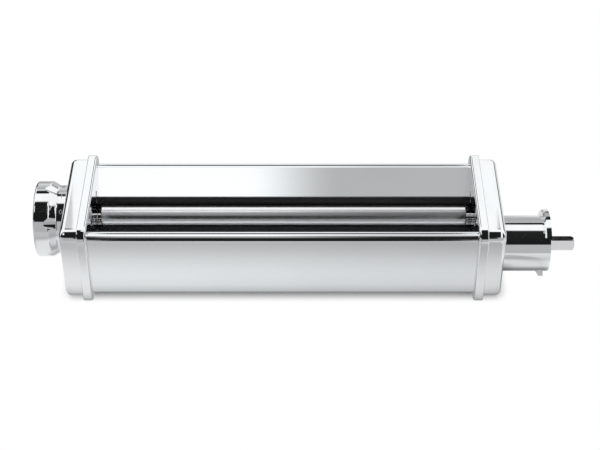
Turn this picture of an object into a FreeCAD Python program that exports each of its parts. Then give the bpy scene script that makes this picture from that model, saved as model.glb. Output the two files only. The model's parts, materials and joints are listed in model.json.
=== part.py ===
import FreeCAD, Part
import math
import os
import Sketcher

# A pasta roller that is driven by a stand mixer. X runs along the rollers, with the drive on the right
# (+X) and the thickness knob on the left. The front is -Y. The origin is on the table, in the middle of
# the length over all and of the depth.

DRIVING_SIZES = {
    # sheet panels and the chute between them
    "panel_length": 208.0,
    "sheet_gauge": 0.8,
    "bend_radius": 3.75,
    "hem_radius": 2.0,
    "hem_width": 7.0,
    "chute_angle": 28.0,
    "slot_width": 23.0,
    "lip_drop": 4.3,
    "lip_radius": 5.8,
    "lip_clearance": 1.0,
    # side plates and ties
    "plate_gauge": 2.5,
    "tie_inset": 5.45,
    "tie_lift": 3.95,
    "tie_room": 0.65,
    "tie_diameter": 5.0,
    "tie_screw_diameter": 2.5,
    "tie_screw_reach": 8.0,
    "tie_head_diameter": 4.8,
    "tie_head_height": 1.8,
    "tie_socket_radius": 1.45,
    "tie_socket_depth": 1.2,
    "boss_radius": 3.2,
    # end caps
    "flange_overhang": 2.85,
    "flange_rise": 4.35,
    "flange_foot": 5.35,
    "flange_thickness": 5.3,
    "flange_front_corner": 8.0,
    "flange_rear_corner": 5.0,
    "shell_front_corner": 6.0,
    "shell_rear_corner": 4.0,
    "foot_corner": 5.0,
    "flange_inner_edge": 1.3,
    "flange_outer_edge": 0.6,
    "cap_step": 2.0,
    "cap_edge": 3.3,
    "cap_wall": 2.5,
    "cap_ledge": 2.5,
    "floor_ledge": 1.5,
    "cap_room": 2.25,
    "mouth_clearance": 0.1,
    # rollers and their bearings
    "roller_diameter": 19.2,
    "roller_wall": 2.6,
    "roller_end_clearance": 2.5,
    "roller_chamfer": 0.5,
    "gap_wide": 2.2,
    "gap_thin": 0.4,
    "journal_diameter": 9.6,
    "plug_length": 14.0,
    "bush_wall": 1.8,
    "bush_flange": 2.0,
    "bush_flange_gauge": 1.2,
    "running_clearance": 0.05,
    # the carriage that carries the rear roller
    "slide_wall": 1.4,
    "slide_flange_gauge": 2.0,
    "slide_flange_lip": 1.2,
    "slide_clearance": 0.06,
    "slide_end_clearance": 0.4,
    "bar_diameter": 5.0,
    "bar_tenon_diameter": 4.0,
    "bar_tenon_length": 3.0,
    "bar_gap": 1.3,
    "bar_margin": 3.2,
    # gears
    "gear_teeth": 10,
    "gear_width": 4.2,
    "gear_play": 0.5,
    "pressure_angle": 25.0,
    "tooth_backlash": 0.2,
    "tooth_addendum": 1.9,
    "tooth_tip_clearance": 0.35,
    "clip_gauge": 0.8,
    "clip_width": 2.2,
    "clip_groove_depth": 0.8,
    "clip_mouth": 4.0,
    "shaft_stub": 1.2,
    # drive shaft and hub
    "shaft_diameter": 8.4,
    "tail_length": 14.7,
    "tail_diameter": 8.2,
    "tail_flats": 6.2,
    "tail_turn": -20.0,
    "tail_chamfer": 1.0,
    "hub_diameter": 30.4,
    "hub_length": 26.0,
    "hub_spigot_diameter": 25.2,
    "hub_flats": 23.0,
    "hub_flats_clearance": 0.05,
    "hub_bore_diameter": 18.0,
    "hub_web": 6.0,
    "hub_dish_depth": 3.0,
    "hub_dish_diameter": 24.6,
    "hub_nut_wall": 2.2,
    "hub_nut_width": 1.9,
    "hub_room": 0.6,
    "rim_width": 3.5,
    "rim_height": 3.45,
    "rim_bevel": 0.8,
    "rim_start": 47.0,
    "rim_span": 140.0,
    "lug_height": 3.3,
    "lug_width": 4.6,
    "lug_ramp": 2.2,
    "lug_inset": 1.6,
    "lug_start": -80.0,
    "lug_span": 20.0,
    # knob and its spindle
    "knob_diameter": 42.2,
    "knob_neck_length": 5.6,
    "knob_flare_length": 3.6,
    "knob_flare_height": 2.3,
    "knob_rim_length": 8.6,
    "knob_rim_edge": 1.2,
    "knob_flare_edge": 2.2,
    "knob_gap": 0.4,
    "knob_wall": 3.0,
    "knob_web": 4.8,
    "knob_core_diameter": 14.0,
    "knob_dish_depth": 3.2,
    "knob_plug_gauge": 1.2,
    "scallop_radius": 7.5,
    "scallop_depth": 0.7,
    "scallop_length": 6.4,
    "scallop_count": 6,
    "scallop_turn": 27.0,
    "spindle_diameter": 8.0,
    "spindle_flat": 3.2,
    "spindle_end_diameter": 6.0,
    "spindle_collar": 1.0,
    "spindle_play": 0.2,
    "knob_screw_diameter": 3.0,
    "knob_screw_reach": 7.0,
    "knob_screw_head_diameter": 6.0,
    "knob_screw_head_height": 1.6,
    # scroll disc and its click spring
    "scroll_gauge": 3.6,
    "scroll_groove_depth": 2.2,
    "scroll_groove_clearance": 0.15,
    "scroll_rim": 1.6,
    "knob_range": 270.0,
    "settings": 10,
    "pin_diameter": 3.0,
    "pin_wall": 1.2,
    "pin_end_clearance": 0.3,
    "notch_depth": 0.9,
    "notch_width": 2.8,
    "notch_ring": 10.8,
    "spring_gauge": 0.4,
    "spring_width": 4.0,
    "spring_length": 16.0,
    "spring_foot": 6.0,
    "spring_gap": 0.3,
    "nib_depth": 0.7,
    "nib_width": 1.8,
    "rivet_diameter": 2.0,
    "rivet_head_diameter": 4.0,
    "rivet_head_height": 0.8,
    "rivet_reach": 1.5,
    # scrapers
    "scraper_clearance": 0.4,
    "scraper_gauge": 1.8,
    "scraper_tip": 3.5,
    "scraper_lead": 0.5,
    "scraper_web": 2.8,
    "scraper_eye_wall": 1.4,
}

LEFT = -1
RIGHT = 1
HALF_TURN = FreeCAD.Rotation(FreeCAD.Vector(0, 0, 1), 180)
Z_TO_X = FreeCAD.Rotation(FreeCAD.Vector(0, 1, 0), 90)

doc = FreeCAD.newDocument("pasta_roller")
sheet = doc.addObject("Spreadsheet::Sheet", "Sizes")
for row, (alias, default) in enumerate(DRIVING_SIZES.items(), start=1):
    sheet.set(f"A{row}", alias)
    sheet.set(f"B{row}", str(default))
    sheet.setAlias(f"B{row}", alias)
doc.recompute()


class Size:
    """A size worked out from the sheet. It keeps its formula, so that a feature can be bound to it."""

    def __init__(self, text):
        self.text = text

    @property
    def value(self):
        return float(sheet.evalExpression(self.text))

    def __add__(self, other):
        return Size(f"({self.text} + {formula(other)})")

    def __radd__(self, other):
        return Size(f"({formula(other)} + {self.text})")

    def __sub__(self, other):
        return Size(f"({self.text} - {formula(other)})")

    def __rsub__(self, other):
        return Size(f"({formula(other)} - {self.text})")

    def __mul__(self, other):
        return Size(f"({self.text} * {formula(other)})")

    def __rmul__(self, other):
        return Size(f"({formula(other)} * {self.text})")

    def __truediv__(self, other):
        return Size(f"({self.text} / {formula(other)})")

    def __neg__(self):
        return Size(f"(-{self.text})")


class SheetSizes:
    """Reads a cell of the sheet as a Size: sizes.panel_length."""

    def __getattr__(self, alias):
        if alias not in DRIVING_SIZES:
            raise AttributeError(alias)
        return Size(f"Sizes.{alias}")


def formula(size):
    return size.text if isinstance(size, Size) else repr(size)


def number(size):
    return size.value if isinstance(size, Size) else float(size)


def sine(angle):
    return Size(f"sin({angle.text})")


def cosine(angle):
    return Size(f"cos({angle.text})")


def tangent(angle):
    return Size(f"tan({angle.text})")


sizes = SheetSizes()

# Heights and depths, worked out from the mechanism outwards.
roller_radius = sizes.roller_diameter / 2
journal_radius = sizes.journal_diameter / 2
shaft_radius = sizes.shaft_diameter / 2
bush_radius = journal_radius + sizes.running_clearance + sizes.bush_wall
axis_offset = (sizes.roller_diameter + (sizes.gap_wide + sizes.gap_thin) / 2) / 2
front_axis = -axis_offset
knob_axis = axis_offset
rear_axis = front_axis + sizes.roller_diameter + sizes.gap_wide
travel = sizes.gap_wide - sizes.gap_thin
hub_bush_radius = shaft_radius + sizes.running_clearance + sizes.bush_wall
spindle_bush_radius = sizes.spindle_diameter / 2 + sizes.running_clearance + sizes.bush_wall
pin_offset = bush_radius + sizes.pin_wall + sizes.pin_diameter / 2
rivet_place = knob_axis - sizes.spring_length + sizes.spring_foot / 2

slide_half_height = bush_radius + sizes.slide_wall
slide_flange_half = slide_half_height + sizes.slide_flange_lip
bar_offset = roller_radius + sizes.bar_gap + sizes.bar_diameter / 2
bar_rise = slide_half_height - sizes.bar_margin
slide_front = rear_axis - slide_half_height
slide_rear = rear_axis + bar_offset + sizes.bar_margin

half_depth = slide_rear + sizes.cap_room + sizes.cap_ledge
body_bottom = sizes.flange_foot
tie_rise = slide_flange_half + sizes.tie_room + sizes.boss_radius
axis_height = body_bottom + sizes.tie_lift + tie_rise
tie_offset = half_depth - sizes.tie_inset

slot_half = sizes.slot_width / 2
slope = tangent(sizes.chute_angle)
lip_end = axis_height + roller_radius + sizes.lip_clearance
lip_corner = lip_end + sizes.lip_drop
ridge_corner = lip_corner + slope * (half_depth - slot_half)
body_top = (
    ridge_corner
    + sizes.bend_radius
    - sizes.bend_radius * cosine(sizes.chute_angle)
    - (sizes.bend_radius + sizes.bend_radius * sine(sizes.chute_angle)) * slope
)

# Distances outwards from the middle of the rollers, the same on both ends.
plate_inner = sizes.panel_length / 2
plate_outer = plate_inner + sizes.plate_gauge
slide_outer = plate_outer + sizes.slide_flange_gauge
gear_inner = slide_outer + sizes.gear_play
gear_outer = gear_inner + sizes.gear_width
clip_outer = gear_outer + sizes.clip_gauge
nut_inner = clip_outer + sizes.hub_room
wall_inner = nut_inner + sizes.hub_nut_width
wall_outer = wall_inner + sizes.cap_wall
cap_thickness = wall_outer - plate_inner
roller_end = plate_inner - sizes.roller_end_clearance
hub_end = wall_outer + sizes.hub_length
tail_end = hub_end + sizes.tail_length
knob_inner = wall_outer + sizes.knob_gap
knob_flare = knob_inner + sizes.knob_neck_length
knob_shoulder = knob_flare + sizes.knob_flare_length
knob_end = knob_shoulder + sizes.knob_rim_length
scroll_outer = gear_inner + sizes.scroll_gauge
spindle_end = knob_end - sizes.knob_web
middle = (knob_end - tail_end) / 2

sub_parts = []


def keep(part):
    """Marks an object as a sub-part of its own, which is written out under its Label."""
    sub_parts.append(part)
    return part


def bind(part, **bound):
    for name, size in bound.items():
        part.setExpression(name, formula(size))


def place(part, x, y, z, rotation=None):
    if rotation is not None:
        part.Placement = FreeCAD.Placement(FreeCAD.Vector(0, 0, 0), rotation)
    for axis, size in zip("xyz", (x, y, z)):
        part.setExpression(f"Placement.Base.{axis}", formula(size))


def new_body(label):
    return doc.addObject("PartDesign::Body", label)


def new_sketch(body, role, offset=0):
    """A sketch on one of the body's origin planes, moved along the plane's normal by offset."""
    sketch = body.newObject("Sketcher::SketchObject", body.Label + "_sketch")
    plane = next(item for item in body.Origin.OriginFeatures if item.Role == role)
    sketch.AttachmentSupport = (plane, [""])
    sketch.MapMode = "FlatFace"
    sketch.setExpression("AttachmentOffset.Base.z", formula(offset))
    return sketch


def constrain(sketch, size, kind, *targets):
    index = sketch.addConstraint(Sketcher.Constraint(kind, *targets, number(size)))
    sketch.setExpression(f"Constraints[{index}]", formula(size))


def pin_point(sketch, geometry, point, across, up):
    """Ties one point of a sketch to its two distances from the sketch's origin."""
    for size, kind, axis in ((across, "DistanceX", -2), (up, "DistanceY", -1)):
        if isinstance(size, Size):
            constrain(sketch, size, kind, -1, 1, geometry, point)
        else:
            sketch.addConstraint(Sketcher.Constraint("PointOnObject", geometry, point, axis))


def draw_polygon(sketch, corners):
    """A closed outline of straight sides. A coordinate is a Size, or 0 for a point on that axis."""
    points = [FreeCAD.Vector(number(across), number(up), 0) for across, up in corners]
    first = sketch.GeometryCount
    count = len(points)
    for index in range(count):
        sketch.addGeometry(Part.LineSegment(points[index], points[(index + 1) % count]), False)
    for index in range(count):
        follower = first + (index + 1) % count
        sketch.addConstraint(Sketcher.Constraint("Coincident", first + index, 2, follower, 1))
    for index, (across, up) in enumerate(corners):
        pin_point(sketch, first + index, 1, across, up)


def draw_circle(sketch, across, up, radius):
    centre = FreeCAD.Vector(number(across), number(up), 0)
    circle = sketch.addGeometry(Part.Circle(centre, FreeCAD.Vector(0, 0, 1), number(radius)), False)
    pin_point(sketch, circle, 3, across, up)
    constrain(sketch, radius, "Radius", circle)


def draw_rounded_box(sketch, left, right, low, high, right_radius, left_radius, foot_radius):
    """A rectangle with rounded corners: a radius for each of the upper two, and one for the lower two."""
    x0, x1, y0, y1 = (number(size) for size in (left, right, low, high))
    r1, r0, foot = (number(size) for size in (right_radius, left_radius, foot_radius))
    corners = [
        (x1 - foot, y0 + foot, foot, 270), (x1 - r1, y1 - r1, r1, 0),
        (x0 + r0, y1 - r0, r0, 90), (x0 + foot, y0 + foot, foot, 180),
    ]
    arcs = []
    for cx, cy, arc_radius, start in corners:
        circle = Part.Circle(FreeCAD.Vector(cx, cy, 0), FreeCAD.Vector(0, 0, 1), arc_radius)
        arc = Part.ArcOfCircle(circle, math.radians(start), math.radians(start + 90))
        arcs.append(sketch.addGeometry(arc, False))
    lines = []
    for index in range(4):
        start = sketch.getPoint(arcs[index], 2)
        end = sketch.getPoint(arcs[(index + 1) % 4], 1)
        lines.append(sketch.addGeometry(Part.LineSegment(start, end), False))
    for index in range(4):
        follower = arcs[(index + 1) % 4]
        direction = "Vertical" if index % 2 == 0 else "Horizontal"
        sketch.addConstraint(Sketcher.Constraint("Tangent", arcs[index], 2, lines[index], 1))
        sketch.addConstraint(Sketcher.Constraint("Tangent", lines[index], 2, follower, 1))
        sketch.addConstraint(Sketcher.Constraint(direction, lines[index]))
    sketch.addConstraint(Sketcher.Constraint("Equal", arcs[0], arcs[3]))
    for arc, radius in zip(arcs, (foot_radius, right_radius, left_radius)):
        constrain(sketch, radius, "Radius", arc)
    constrain(sketch, right, "DistanceX", -1, 1, lines[0], 1)
    constrain(sketch, high, "DistanceY", -1, 1, lines[1], 1)
    constrain(sketch, left, "DistanceX", -1, 1, lines[2], 1)
    constrain(sketch, low, "DistanceY", -1, 1, lines[3], 1)


def add_feature(body, kind, sketch, length):
    feature = body.newObject(kind, body.Label + "_" + kind.split("::")[1].lower())
    feature.Profile = sketch
    bind(feature, Length=length)
    return feature


def pad(body, sketch, length):
    return add_feature(body, "PartDesign::Pad", sketch, length)


def pocket(body, sketch, length):
    """Cuts along the normal of the sketch's plane, and makes sure that it takes something away."""
    doc.recompute()
    before = body.Shape.Volume
    feature = add_feature(body, "PartDesign::Pocket", sketch, length)
    feature.Reversed = True
    doc.recompute()
    if body.Shape.Volume >= before:
        raise RuntimeError(f"{feature.Label} cuts nothing")
    return feature


def drill(body, offset, depth, holes):
    """Round holes along X. Each hole is its place across and up, and its radius."""
    sketch = new_sketch(body, "YZ_Plane", offset)
    for across, up, radius in holes:
        draw_circle(sketch, across, up, radius)
    return pocket(body, sketch, depth)


def round_edges(body, radius, chosen):
    """Rounds the edges of the body for which chosen says yes."""
    doc.recompute()
    base = body.Tip
    names = [f"Edge{i}" for i, edge in enumerate(base.Shape.Edges, start=1) if chosen(edge)]
    if not names:
        raise RuntimeError(f"{body.Label} has no such edge")
    fillet = body.newObject("PartDesign::Fillet", body.Label + "_fillet")
    fillet.Base = (base, names)
    bind(fillet, Radius=radius)
    return fillet


def along_x_at(places):
    """Chooses the edges along X that stand at one of the places, each a y and a z."""
    wanted = [(number(y), number(z)) for y, z in places]

    def chosen(edge):
        box = edge.BoundBox
        if box.YLength > 1e-4 or box.ZLength > 1e-4:
            return False
        return any(math.hypot(box.YMin - y, box.ZMin - z) < 1e-3 for y, z in wanted)

    return chosen


def turned(label, side, axis_y, axis_z, outline):
    """A turned piece about X: each point of its outline is its distance outwards and its radius."""
    body = new_body(label)
    sketch = new_sketch(body, "XY_Plane")
    draw_polygon(sketch, outline)
    revolution = body.newObject("PartDesign::Revolution", label + "_revolution")
    revolution.Profile = sketch
    revolution.ReferenceAxis = (sketch, ["H_Axis"])
    place(body, middle, axis_y, axis_z, HALF_TURN if side == LEFT else None)
    return body


def ring(inner, outer, inner_radius, outer_radius):
    """The outline of a tube between two distances outwards."""
    return [(inner, inner_radius), (outer, inner_radius), (outer, outer_radius), (inner, outer_radius)]


def rod(steps):
    """The outline of a solid stepped bar: each step is where it begins, where it ends and its radius."""
    outline = [(steps[0][0], 0)]
    for inner, outer, radius in steps:
        outline += [(inner, radius), (outer, radius)]
    return outline + [(steps[-1][1], 0)]


def round_bar(label, inner, outer, axis_y, axis_z, radius):
    """A plain cylinder along X on the right-hand end."""
    bar = doc.addObject("Part::Cylinder", label)
    bind(bar, Radius=radius, Height=outer - inner)
    place(bar, middle + inner, axis_y, axis_z, Z_TO_X)
    return bar


def joined(label, *pieces):
    fusion = doc.addObject("Part::MultiFuse", label)
    fusion.Shapes = list(pieces)
    return fusion


def cut(label, base, tool):
    difference = doc.addObject("Part::Cut", label)
    difference.Base = base
    difference.Tool = tool
    return difference


def group(label, pieces):
    """Like pieces that share a node as separate solids."""
    compound = doc.addObject("Part::Compound", label)
    compound.Links = pieces
    return compound


def tie_places():
    return [
        (tie_offset, axis_height - tie_rise),
        (tie_offset, axis_height + tie_rise),
        (-tie_offset, axis_height - tie_rise),
        (-tie_offset, axis_height + tie_rise),
    ]


def make_panel(label, turn):
    """A bent sheet: hem, upright face, rolled ridge, chute and the lip above the roller."""
    gauge = sizes.sheet_gauge
    inner_face = half_depth - gauge
    inner_lip = slot_half + gauge
    under_chute = ridge_corner - gauge / cosine(sizes.chute_angle)
    inner_ridge = under_chute - slope * gauge
    inner_lip_corner = under_chute - slope * (half_depth - inner_lip)
    hem_end = half_depth - sizes.hem_width
    hem_top = body_bottom + gauge
    body = new_body(label)
    sketch = new_sketch(body, "YZ_Plane")
    draw_polygon(sketch, [
        (hem_end, body_bottom),
        (half_depth, body_bottom),
        (half_depth, ridge_corner),
        (slot_half, lip_corner),
        (slot_half, lip_end),
        (inner_lip, lip_end),
        (inner_lip, inner_lip_corner),
        (inner_face, inner_ridge),
        (inner_face, hem_top),
        (hem_end, hem_top),
    ])
    pad(body, sketch, sizes.panel_length)
    round_edges(body, sizes.bend_radius, along_x_at([(half_depth, ridge_corner)]))
    round_edges(body, sizes.bend_radius - gauge, along_x_at([(inner_face, inner_ridge)]))
    round_edges(body, sizes.hem_radius, along_x_at([(half_depth, body_bottom)]))
    round_edges(body, sizes.hem_radius - gauge, along_x_at([(inner_face, hem_top)]))
    round_edges(body, sizes.lip_radius, along_x_at([(slot_half, lip_corner)]))
    round_edges(body, sizes.lip_radius - gauge, along_x_at([(inner_lip, inner_lip_corner)]))
    start = middle + plate_inner if turn else middle - plate_inner
    place(body, start, 0, 0, turn)
    return keep(body)


def make_side_plate(label, side):
    """A flat end plate with a bush hole for the front roller and a window for the bearing slide."""
    window_front = slide_front - travel - sizes.slide_end_clearance
    window_rear = slide_rear + sizes.slide_end_clearance
    window_half = slide_half_height + sizes.slide_clearance
    body = new_body(label)
    outline = new_sketch(body, "YZ_Plane")
    bends = (sizes.bend_radius, sizes.bend_radius, sizes.hem_radius)
    draw_rounded_box(outline, -half_depth, half_depth, body_bottom, body_top, *bends)
    pad(body, outline, sizes.plate_gauge)
    window = new_sketch(body, "YZ_Plane")
    draw_polygon(window, [
        (window_front, axis_height - window_half),
        (window_rear, axis_height - window_half),
        (window_rear, axis_height + window_half),
        (window_front, axis_height + window_half),
    ])
    pocket(body, window, sizes.plate_gauge)
    holes = [(y, z, sizes.tie_screw_diameter / 2) for y, z in tie_places()]
    holes.append((front_axis, axis_height, bush_radius))
    drill(body, 0, sizes.plate_gauge, holes)
    place(body, middle + plate_inner if side == RIGHT else middle - plate_outer, 0, 0)
    return keep(body)


def make_end_cap_shell(label, side):
    """A hollow cap, drawn as the right-hand one: a flange that laps the panels, and a smaller shell."""
    flange_half = half_depth + sizes.flange_overhang
    flange_top = body_top + sizes.flange_rise
    shell_half = flange_half - sizes.cap_step
    shell_top = flange_top - sizes.cap_step
    mouth_half = half_depth + sizes.mouth_clearance
    hollow_half = half_depth - sizes.cap_ledge
    hollow_low = body_bottom + sizes.floor_ledge
    hollow_top = body_top - sizes.cap_ledge
    hollow_depth = cap_thickness - sizes.cap_wall - sizes.plate_gauge
    flange_corners = [sizes.flange_rear_corner, sizes.flange_front_corner]
    shell_corners = [sizes.shell_rear_corner, sizes.shell_front_corner]
    if side == LEFT:
        flange_corners.reverse()
        shell_corners.reverse()
    foot = sizes.foot_corner
    body = new_body(label)
    flange = new_sketch(body, "YZ_Plane")
    draw_rounded_box(flange, -flange_half, flange_half, 0, flange_top, *flange_corners, foot)
    pad(body, flange, sizes.flange_thickness)
    shell = new_sketch(body, "YZ_Plane", sizes.flange_thickness)
    draw_rounded_box(shell, -shell_half, shell_half, sizes.cap_step, shell_top, *shell_corners, foot)
    pad(body, shell, cap_thickness - sizes.flange_thickness)

    def ends_at(distance, reach):
        far = number(distance)
        least = number(reach)

        def chosen(edge):
            box = edge.BoundBox
            flat = abs(box.XMin - far) < 1e-4 and abs(box.XMax - far) < 1e-4
            return flat and max(abs(box.YMin), abs(box.YMax)) > least

        return chosen

    round_edges(body, sizes.cap_edge, ends_at(cap_thickness, 0))
    step_middle = shell_half + sizes.cap_step / 2
    round_edges(body, sizes.flange_outer_edge, ends_at(sizes.flange_thickness, step_middle))
    round_edges(body, sizes.flange_inner_edge, ends_at(0, 0))
    mouth = new_sketch(body, "YZ_Plane")
    mouth_low = body_bottom - sizes.mouth_clearance
    mouth_top = body_top + sizes.mouth_clearance
    bend = sizes.bend_radius
    draw_rounded_box(mouth, -mouth_half, mouth_half, mouth_low, mouth_top, bend, bend, sizes.hem_radius)
    pocket(body, mouth, sizes.plate_gauge)
    hollow = new_sketch(body, "YZ_Plane", sizes.plate_gauge)
    draw_rounded_box(hollow, -hollow_half, hollow_half, hollow_low, hollow_top, bend, bend, bend)
    pocket(body, hollow, hollow_depth)
    bosses = new_sketch(body, "YZ_Plane", sizes.plate_gauge)
    for y, z in tie_places():
        draw_circle(bosses, y, z, sizes.boss_radius)
    pad(body, bosses, hollow_depth)
    screws = [(y, z, sizes.tie_screw_diameter / 2) for y, z in tie_places()]
    drill(body, sizes.plate_gauge, cap_thickness - sizes.plate_gauge, screws)
    heads = [(y, z, sizes.tie_head_diameter / 2) for y, z in tie_places()]
    drill(body, cap_thickness - sizes.tie_head_height, sizes.tie_head_height, heads)
    if side == RIGHT:
        place(body, middle + plate_inner, 0, 0)
    else:
        place(body, middle - plate_inner, 0, 0, HALF_TURN)
    return body


def make_right_end_cap():
    """The cap that the drive hub is locked into, by two flats on the hub's spigot."""
    spigot_radius = sizes.hub_spigot_diameter / 2
    shell = make_end_cap_shell("right_cap_shell", RIGHT)
    hole = hub_spigot("hub_hole", wall_inner, wall_outer, spigot_radius, sizes.hub_flats_clearance)
    return keep(cut("right_end_cap", shell, hole))


def make_left_end_cap():
    """The cap that carries the knob's spindle and the click spring."""
    cap = make_end_cap_shell("left_end_cap", LEFT)
    inner_face = cap_thickness - sizes.cap_wall
    drill(cap, inner_face, sizes.cap_wall, [(-knob_axis, axis_height, spindle_bush_radius)])
    rivet = (-rivet_place, axis_height + sizes.notch_ring, sizes.rivet_diameter / 2)
    drill(cap, inner_face, sizes.rivet_reach, [rivet])
    return keep(cap)


def hub_spigot(label, inner, outer, radius, clearance):
    """A round bar with two flats above and below, on the front roller's axis."""
    bar = round_bar(label + "_bar", inner, outer, front_axis, axis_height, radius + clearance)
    flats = doc.addObject("Part::Box", label + "_flats")
    height = sizes.hub_flats + 2 * clearance
    bind(flats, Length=outer - inner, Width=2 * (radius + clearance), Height=height)
    place(flats, middle + inner, front_axis - radius - clearance, axis_height - height / 2)
    spigot = doc.addObject("Part::Common", label)
    spigot.Base = bar
    spigot.Tool = flats
    return spigot


def hexagon(radius):
    half = radius / 2
    rise = radius * (math.sqrt(3) / 2)
    return [(radius, 0), (half, rise), (-half, rise), (-radius, 0), (-half, -rise), (half, -rise)]


def make_ties():
    """Four rods from plate to plate, each held at both ends by a socket screw through the cap."""
    rod_end = plate_inner - sizes.tie_screw_reach
    thread = sizes.tie_screw_diameter / 2
    radius = sizes.tie_diameter / 2
    labels = ["rear_lower_tie_rod", "rear_upper_tie_rod", "front_lower_tie_rod", "front_upper_tie_rod"]
    for label, (y, z) in zip(labels, tie_places()):
        outline = [
            (-plate_inner, radius), (-plate_inner, thread), (-rod_end, thread), (-rod_end, 0),
            (rod_end, 0), (rod_end, thread), (plate_inner, thread), (plate_inner, radius),
        ]
        keep(turned(label, RIGHT, y, z, outline))
    head_inner = wall_outer - sizes.tie_head_height
    for side, label in ((LEFT, "left_tie_screws"), (RIGHT, "right_tie_screws")):
        screws = []
        for y, z in tie_places():
            steps = [(rod_end, head_inner, thread), (head_inner, wall_outer, sizes.tie_head_diameter / 2)]
            screw = turned(label + "_piece", side, y, z, rod(steps))
            socket = new_sketch(screw, "YZ_Plane", wall_outer - sizes.tie_socket_depth)
            draw_polygon(socket, hexagon(sizes.tie_socket_radius))
            pocket(screw, socket, sizes.tie_socket_depth)
            screws.append(screw)
        keep(group(label, screws))


def make_front_bearings():
    outer = plate_outer + sizes.bush_flange_gauge
    bore = journal_radius + sizes.running_clearance
    for side, label in ((LEFT, "front_left_bush"), (RIGHT, "front_right_bush")):
        outline = [
            (plate_inner, bore), (outer, bore), (outer, bush_radius + sizes.bush_flange),
            (plate_outer, bush_radius + sizes.bush_flange), (plate_outer, bush_radius),
            (plate_inner, bush_radius),
        ]
        keep(turned(label, side, front_axis, axis_height, outline))


def make_roller(label, axis_y):
    """A tube with chamfered ends."""
    bore = roller_radius - sizes.roller_wall
    face_end = roller_end - sizes.roller_chamfer
    rim = roller_radius - sizes.roller_chamfer
    outline = [
        (-roller_end, bore), (roller_end, bore), (roller_end, rim),
        (face_end, roller_radius), (-face_end, roller_radius), (-roller_end, rim),
    ]
    return keep(turned(label, RIGHT, axis_y, axis_height, outline))


def journal_steps(outer):
    """A plug that is pressed into the roller's tube, and the journal that stands out of it."""
    plug = roller_radius - sizes.roller_wall
    return [(roller_end - sizes.plug_length, roller_end, plug), (roller_end, outer, journal_radius)]


def geared_steps(outer):
    """The journal, the gear's seat, the clip's groove and the end of the shaft."""
    groove = shaft_radius - sizes.clip_groove_depth
    return journal_steps(gear_outer) + [(gear_outer, clip_outer, groove), (clip_outer, outer, shaft_radius)]


def mill_flat(body):
    """A flat along the top of the gear's seat, level with the thinner shaft beyond it."""
    sketch = new_sketch(body, "XY_Plane", shaft_radius)
    draw_polygon(sketch, [
        (gear_inner, -journal_radius), (gear_outer, -journal_radius),
        (gear_outer, journal_radius), (gear_inner, journal_radius),
    ])
    pocket(body, sketch, journal_radius)


def make_front_roller_shafts():
    left = journal_steps(plate_outer + sizes.bush_flange_gauge)
    keep(turned("front_left_journal", LEFT, front_axis, axis_height, rod(left)))
    tail_radius = sizes.tail_diameter / 2
    outline = rod(geared_steps(hub_end) + [(hub_end, tail_end - sizes.tail_chamfer, tail_radius)])
    outline[-1:] = [(tail_end, tail_radius - sizes.tail_chamfer), (tail_end, 0)]
    shaft = turned("drive_shaft", RIGHT, front_axis, axis_height, outline)
    mill_flat(shaft)
    reach = sizes.tail_flats / 2
    turn = sizes.tail_turn
    across = reach * cosine(turn) - reach * sine(turn)
    up = reach * sine(turn) + reach * cosine(turn)
    flats = new_sketch(shaft, "YZ_Plane", hub_end)
    draw_polygon(flats, [(across, up), (-up, across), (-across, -up), (up, -across)])
    draw_circle(flats, 0, 0, shaft_radius + tail_radius)
    pocket(shaft, flats, sizes.tail_length)
    keep(shaft)


def make_rear_roller_shafts():
    left = turned("rear_left_journal", LEFT, rear_axis, axis_height, rod(journal_steps(slide_outer)))
    geared = geared_steps(clip_outer + sizes.shaft_stub)
    right = turned("rear_right_journal", RIGHT, rear_axis, axis_height, rod(geared))
    mill_flat(right)
    keep(left)
    keep(right)


def make_clip(label, axis_y):
    """A spring clip in the groove beyond a gear, open to the top."""
    groove = shaft_radius - sizes.clip_groove_depth
    outer = groove + sizes.clip_width
    disc = turned(label + "_ring", RIGHT, axis_y, axis_height, ring(gear_outer, clip_outer, groove, outer))
    mouth = doc.addObject("Part::Box", label + "_mouth")
    bind(mouth, Length=sizes.clip_gauge, Width=sizes.clip_mouth, Height=outer)
    place(mouth, middle + gear_outer, axis_y - sizes.clip_mouth / 2, axis_height)
    return keep(cut(label, disc, mouth))


def polar(radius, angle):
    """A point in the plane of a gear or scroll, with X as its normal: y from the cosine, z from the sine."""
    return FreeCAD.Vector(0, radius * math.cos(angle), radius * math.sin(angle))


def arc_between(radius, start, end):
    return Part.Arc(polar(radius, start), polar(radius, (start + end) / 2), polar(radius, end)).toShape()


def smooth_curve(points):
    curve = Part.BSplineCurve()
    curve.interpolate(points)
    return curve.toShape()


def extrude_x(wires, length):
    face = Part.makeFace(wires, "Part::FaceMakerBullseye")
    return face.extrude(FreeCAD.Vector(length, 0, 0))


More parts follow.
